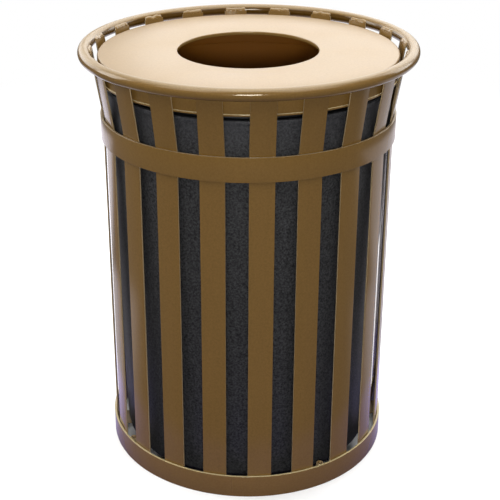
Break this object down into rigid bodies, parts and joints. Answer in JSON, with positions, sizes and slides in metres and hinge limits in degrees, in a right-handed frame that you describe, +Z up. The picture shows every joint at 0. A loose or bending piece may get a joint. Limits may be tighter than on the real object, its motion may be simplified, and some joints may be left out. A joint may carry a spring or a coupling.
{
  "type": "flat top trash can",
  "caption": "Free-standing outdoor waste bin: a round cage of upright steel slats flared out to a tube rim, with a lift-out liner and a flat lid with one round opening.",
  "frame": {"origin": "centre of the base band's lower edge, on the ground", "axes": "+Z up along the cage's axis, -Y towards the viewer of the picture, +X to the viewer's right"},
  "size_m": [0.7109, 0.711, 0.924],
  "materials": {
    "frame_paint": "semi-gloss",
    "lid_paint": "satin",
    "liner_plastic": "matte",
    "zinc_steel": "zinc plated",
    "pad_plastic": "matte"
  },
  "bodies": {
    "frame": {"rim_tube": "frame_paint", "rim_welds": "frame_paint", "mid_band": "frame_paint", "base_band": "frame_paint", "band_seams": "frame_paint", "mid_band_welds": "frame_paint", "base_band_welds": "frame_paint", "slat_01": "frame_paint", "slat_02": "frame_paint", "slat_03": "frame_paint", "slat_04": "frame_paint", "slat_05": "frame_paint", "slat_06": "frame_paint", "slat_07": "frame_paint", "slat_08": "frame_paint", "slat_09": "frame_paint", "slat_10": "frame_paint", "slat_11": "frame_paint", "slat_12": "frame_paint", "slat_13": "frame_paint", "slat_14": "frame_paint", "slat_15": "frame_paint", "slat_16": "frame_paint", "slat_17": "frame_paint", "slat_18": "frame_paint", "slat_19": "frame_paint", "slat_20": "frame_paint", "floor_bar_long": "frame_paint", "floor_bar_right": "frame_paint", "floor_bar_left": "frame_paint", "floor_bar_welds": "frame_paint", "foot_sleeves": "frame_paint", "foot_sleeve_welds": "frame_paint"},
    "foot_1": {"foot_1_stud": "zinc_steel", "foot_1_pad": "pad_plastic"},
    "foot_2": {"foot_2_stud": "zinc_steel", "foot_2_pad": "pad_plastic"},
    "foot_3": {"foot_3_stud": "zinc_steel", "foot_3_pad": "pad_plastic"},
    "foot_4": {"foot_4_stud": "zinc_steel", "foot_4_pad": "pad_plastic"},
    "liner": {"liner": "liner_plastic"},
    "lid": {"lid_top": "lid_paint", "lid_skirt": "lid_paint"}
  },
  "joints": [
    {"name": "liner_lift", "type": "slide", "parent": "frame", "child": "liner", "axis": [0, 0, 1], "range_m": [0, 0.95]},
    {"name": "lid_lift", "type": "slide", "parent": "liner", "child": "lid", "axis": [0, 0, 1], "range_m": [0, 0.15]},
    {"name": "foot_1_screw", "type": "slide", "parent": "frame", "child": "foot_1", "axis": [0, 0, -1], "range_m": [0, 0.02]},
    {"name": "foot_2_screw", "type": "slide", "parent": "frame", "child": "foot_2", "axis": [0, 0, -1], "range_m": [0, 0.02]},
    {"name": "foot_3_screw", "type": "slide", "parent": "frame", "child": "foot_3", "axis": [0, 0, -1], "range_m": [0, 0.02]},
    {"name": "foot_4_screw", "type": "slide", "parent": "frame", "child": "foot_4", "axis": [0, 0, -1], "range_m": [0, 0.02]}
  ]
}
